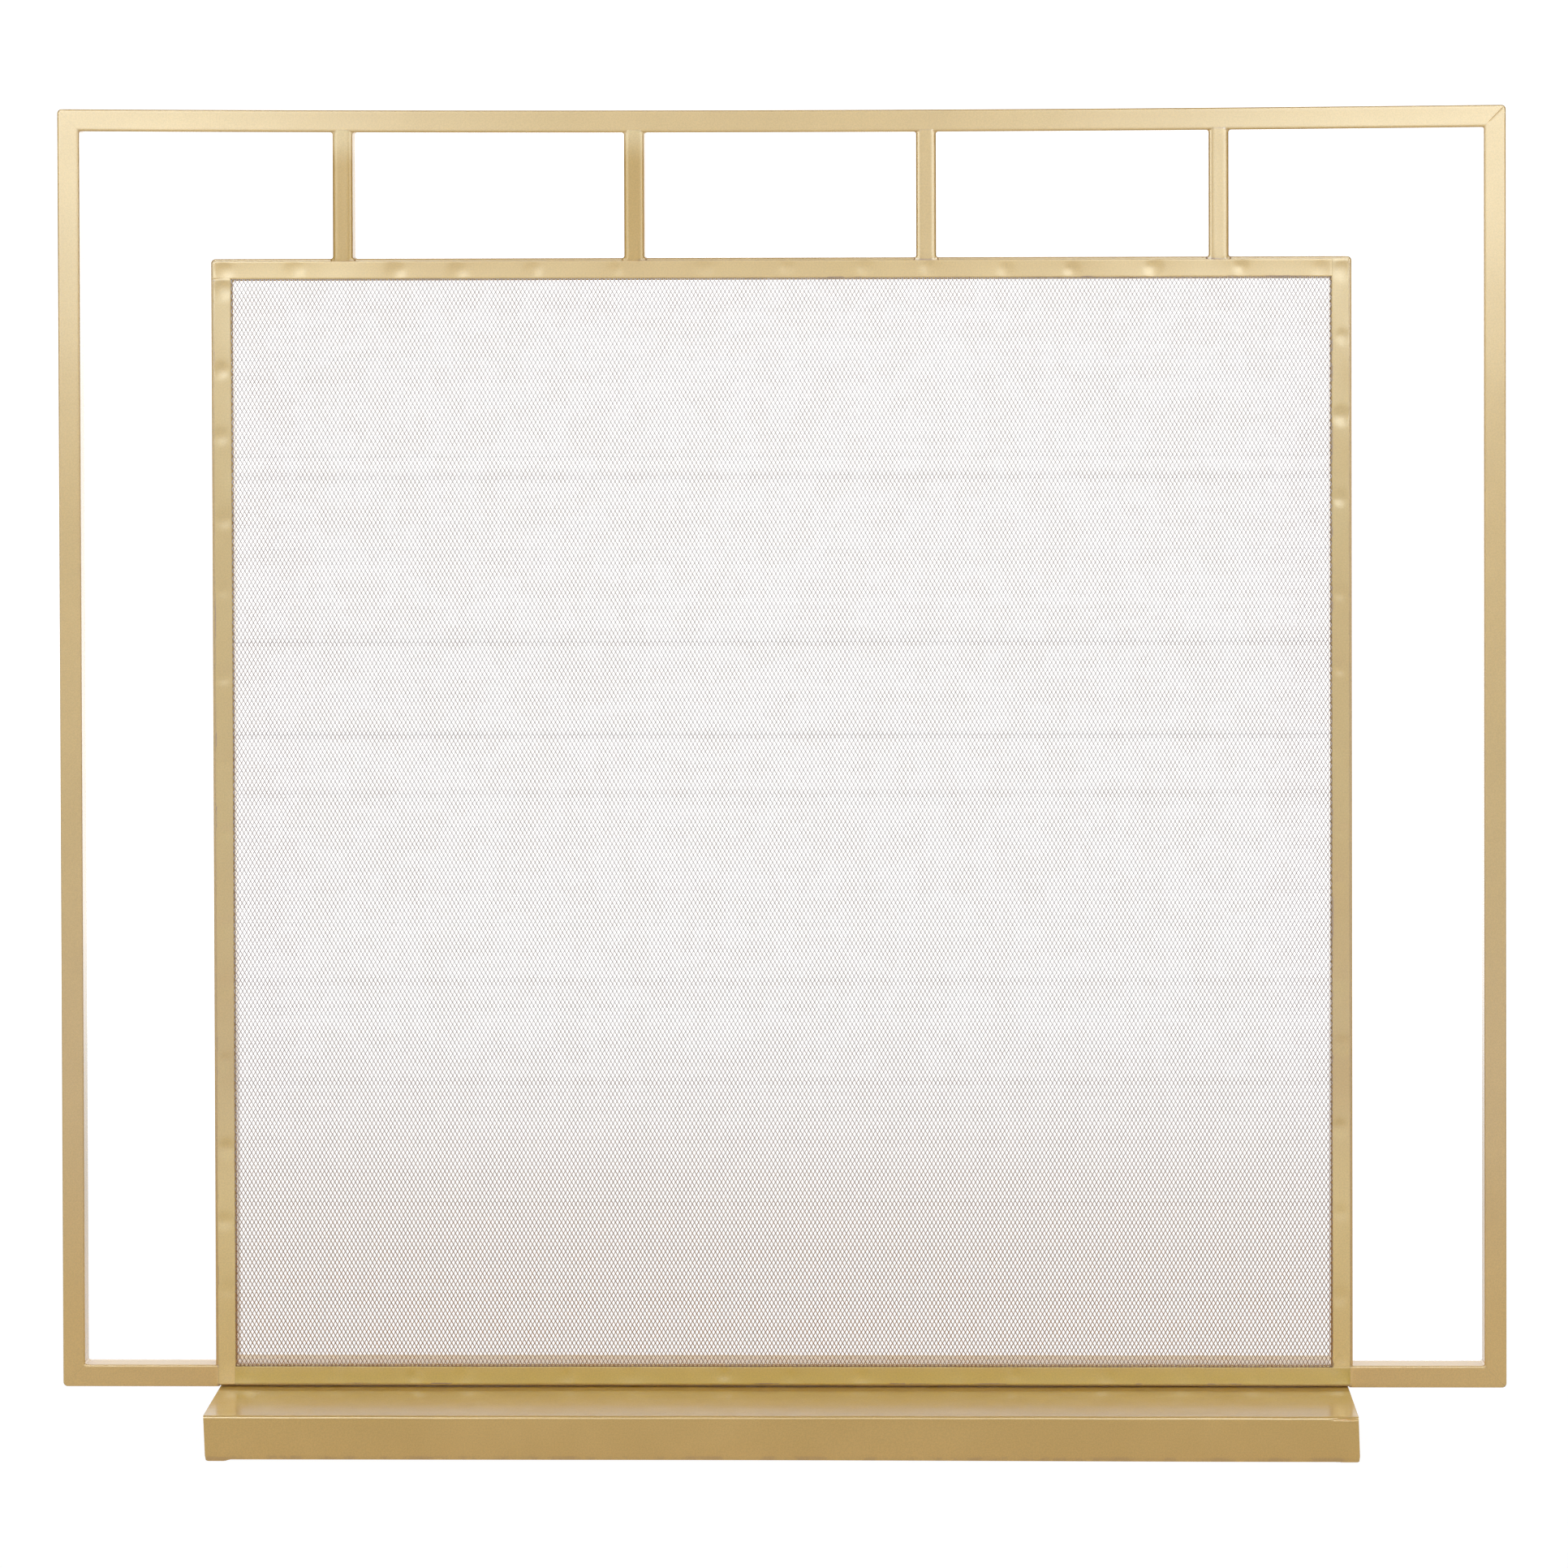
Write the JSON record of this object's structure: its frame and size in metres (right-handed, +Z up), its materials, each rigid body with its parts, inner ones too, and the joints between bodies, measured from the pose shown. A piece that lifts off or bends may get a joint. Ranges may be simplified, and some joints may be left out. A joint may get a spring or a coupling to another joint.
{
  "type": "fireplace screen",
  "caption": "Free-standing fireplace screen: square tube frame around a framed expanded-metal mesh panel, hung on short struts over a low folded sheet base.",
  "frame": {"origin": "on the hearth, below the middle of the screen, centred on the base front to back", "axes": "+X along the screen to the viewer's right when facing its front, +Y from front to back, +Z up; the front with the clamp strips faces -Y"},
  "size_m": [1.06, 0.26, 0.97],
  "materials": {
    "brass_paint": "satin brass-coloured metallic paint over steel tube",
    "mesh_paint": "thin satin brass-brown paint on expanded steel",
    "base_paint": "satin brass-coloured metallic paint over folded steel sheet",
    "zinc_plate": "zinc-plated fasteners, hidden under the base"
  },
  "bodies": {
    "root": {"outer_top_rail": "brass_paint", "outer_left_post": "brass_paint", "outer_right_post": "brass_paint", "outer_bottom_rail_left": "brass_paint", "outer_bottom_rail_right": "brass_paint", "top_strut_1": "brass_paint", "top_strut_2": "brass_paint", "top_strut_3": "brass_paint", "top_strut_4": "brass_paint", "panel_top_rail": "brass_paint", "panel_bottom_rail": "brass_paint", "panel_left_stile": "brass_paint", "panel_right_stile": "brass_paint", "clamp_strip_top": "brass_paint", "clamp_strip_right": "brass_paint", "clamp_strip_bottom": "brass_paint", "clamp_strip_left": "brass_paint", "mesh_panel": "mesh_paint", "base_channel": "base_paint", "base_end_left": "base_paint", "base_end_right": "base_paint", "base_foot_front_left": "base_paint", "base_foot_front_right": "base_paint", "base_foot_back_left": "base_paint", "base_foot_back_right": "base_paint", "base_screw_1": "zinc_plate", "base_screw_2": "zinc_plate", "base_screw_3": "zinc_plate", "base_screw_4": "zinc_plate", "base_washer_1": "zinc_plate", "base_washer_2": "zinc_plate", "base_washer_3": "zinc_plate", "base_washer_4": "zinc_plate", "rail_nut_1": "zinc_plate", "rail_nut_2": "zinc_plate", "rail_nut_3": "zinc_plate", "rail_nut_4": "zinc_plate"}
  },
  "joints": []
}
